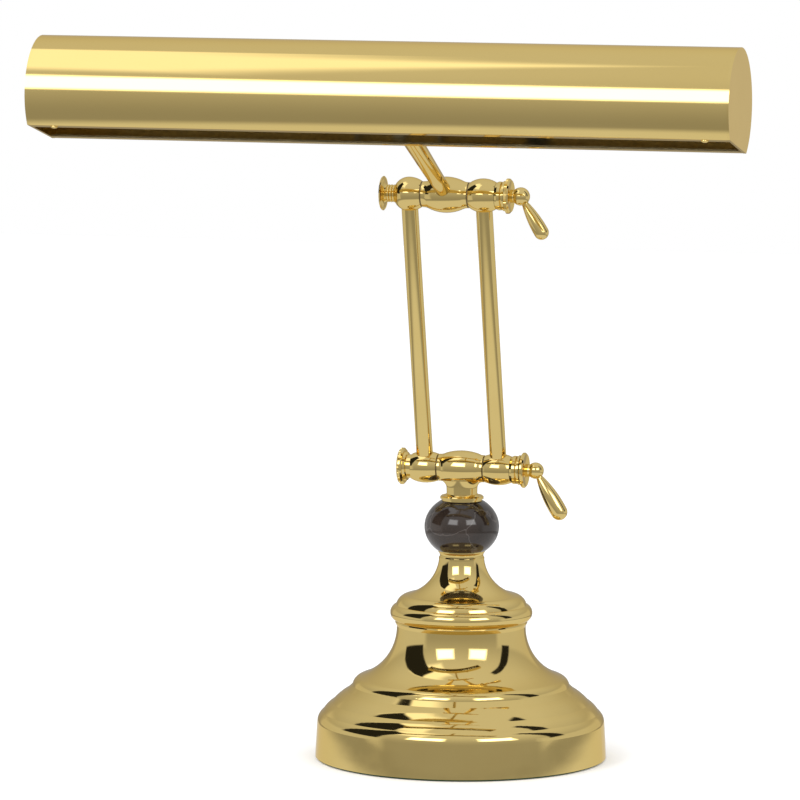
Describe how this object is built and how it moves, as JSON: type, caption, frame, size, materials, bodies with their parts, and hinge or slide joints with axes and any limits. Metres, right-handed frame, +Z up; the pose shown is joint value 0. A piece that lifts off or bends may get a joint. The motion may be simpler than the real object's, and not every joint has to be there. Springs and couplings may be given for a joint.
{
  "type": "piano lamp",
  "caption": "Brass piano lamp with a long round shade on a twin-tube arm, two clamp-lever hinges, a marble ball and a round turned weighted base.",
  "frame": {"origin": "centre of the base's underside, on the felt that the lamp rests on", "axes": "+Z up along the base's axis; +X to the lamp's right along the shade's length; -Y forward, the side the shade reaches to"},
  "size_m": [0.3556, 0.2633, 0.3826],
  "materials": {
    "polished_brass": "mirror polished and lacquered",
    "dark_marble": "polished dark grey-brown marble with faint pale veins",
    "cast_iron": "raw casting",
    "zinc_steel": "zinc plated",
    "felt": "dark green felt",
    "black_rubber": "matt",
    "black_phenolic": "moulded",
    "clear_glass": "clear",
    "fibre": "red-brown vulcanised fibre"
  },
  "bodies": {
    "base": {"base_shell": "polished_brass", "base_weight": "cast_iron", "felt_pad": "felt", "bottom_plate": "zinc_steel", "centre_rod": "zinc_steel", "rod_washer": "zinc_steel", "rod_nut": "zinc_steel", "cord_bushing": "black_rubber", "lower_collar": "polished_brass", "marble_ball": "dark_marble", "ball_cap": "polished_brass", "lower_knuckle": "polished_brass"},
    "arm": {"left_arm_tube": "polished_brass", "right_arm_tube": "polished_brass", "lower_left_bead": "polished_brass", "lower_right_bead": "polished_brass", "upper_left_bead": "polished_brass", "upper_right_bead": "polished_brass", "lower_left_friction_washer": "fibre", "lower_right_friction_washer": "fibre", "upper_left_friction_washer": "fibre", "upper_right_friction_washer": "fibre", "lower_clamp_ring": "polished_brass", "upper_clamp_ring": "polished_brass", "lower_clamp_bolt": "zinc_steel", "upper_clamp_bolt": "zinc_steel", "lower_left_knob": "polished_brass", "upper_left_finial": "polished_brass"},
    "shade": {"upper_knuckle": "polished_brass", "stem_tube": "polished_brass", "shade_collar": "polished_brass", "shade_nipple": "zinc_steel", "shade_nut": "zinc_steel", "shade_shell": "polished_brass", "left_end_cap": "polished_brass", "right_end_cap": "polished_brass", "left_end_cap_screw": "polished_brass", "right_end_cap_screw": "polished_brass", "socket_bracket": "zinc_steel", "left_socket": "black_phenolic", "right_socket": "black_phenolic", "left_bulb_base": "polished_brass", "right_bulb_base": "polished_brass", "left_bulb": "clear_glass", "right_bulb": "clear_glass", "switch_body": "black_phenolic", "switch_nut": "polished_brass"},
    "lower_lever": {"lower_clamp_lever": "polished_brass"},
    "upper_lever": {"upper_clamp_lever": "polished_brass"},
    "switch_knob": {"switch_knob": "polished_brass"}
  },
  "joints": [
    {"name": "lower_hinge", "type": "hinge", "parent": "base", "child": "arm", "pos_m": [0, 0, 0.1523], "axis": [1, 0, 0], "range_deg": [-60, 60]},
    {"name": "upper_hinge", "type": "hinge", "parent": "arm", "child": "shade", "pos_m": [0, -0.03629, 0.29784], "axis": [1, 0, 0], "range_deg": [-60, 35]},
    {"name": "lower_lever_turn", "type": "hinge", "parent": "arm", "child": "lower_lever", "pos_m": [0, 0, 0.1523], "axis": [1, 0, 0], "range_deg": [-150, 150]},
    {"name": "upper_lever_turn", "type": "hinge", "parent": "arm", "child": "upper_lever", "pos_m": [0, -0.03629, 0.29784], "axis": [1, 0, 0], "range_deg": [-150, 150]},
    {"name": "switch_turn", "type": "hinge", "parent": "shade", "child": "switch_knob", "pos_m": [0.07, -0.12502, 0.33922], "axis": [0, -0.9063, 0.4226], "range_deg": [0, 90]}
  ]
}
